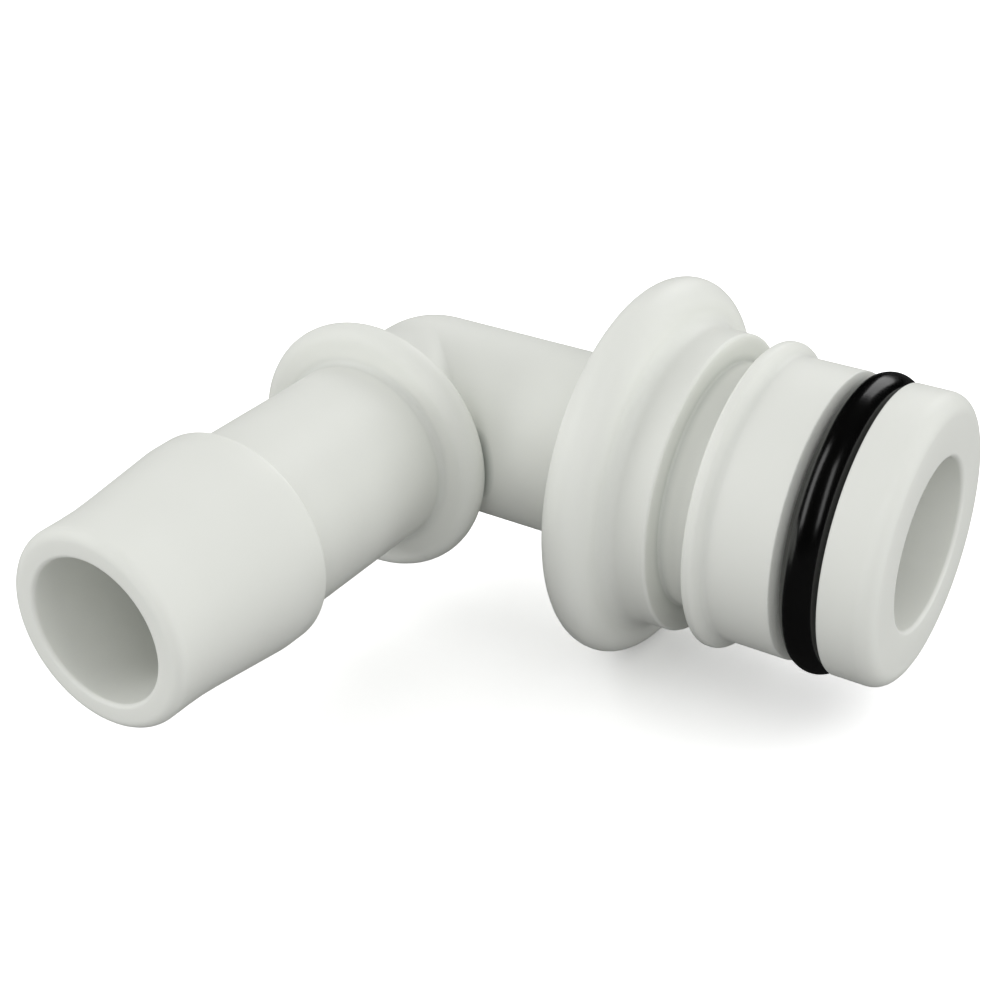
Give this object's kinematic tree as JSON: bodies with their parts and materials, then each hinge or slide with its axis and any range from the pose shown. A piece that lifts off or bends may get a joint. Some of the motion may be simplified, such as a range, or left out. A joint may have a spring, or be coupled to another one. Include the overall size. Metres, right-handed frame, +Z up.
{
  "type": "right-angle hose adapter",
  "caption": "Right-angle hose adapter with a push-in port plug, seal ring, clip groove and flange on one leg, and a collared hose spigot on the other.",
  "frame": {"origin": "middle of the clip groove, on the plug's axis", "axes": "+X out of the plug's open end, -Y out of the hose spigot's open end, +Z up; z = 0 is the plane of symmetry"},
  "size_m": [0.0614, 0.0634, 0.0344],
  "materials": {
    "white_plastic": "satin moulded, slightly warm white",
    "black_rubber": "smooth, lightly greased"
  },
  "bodies": {
    "root": {"elbow_body": "white_plastic", "seal_ring": "black_rubber"}
  },
  "joints": []
}
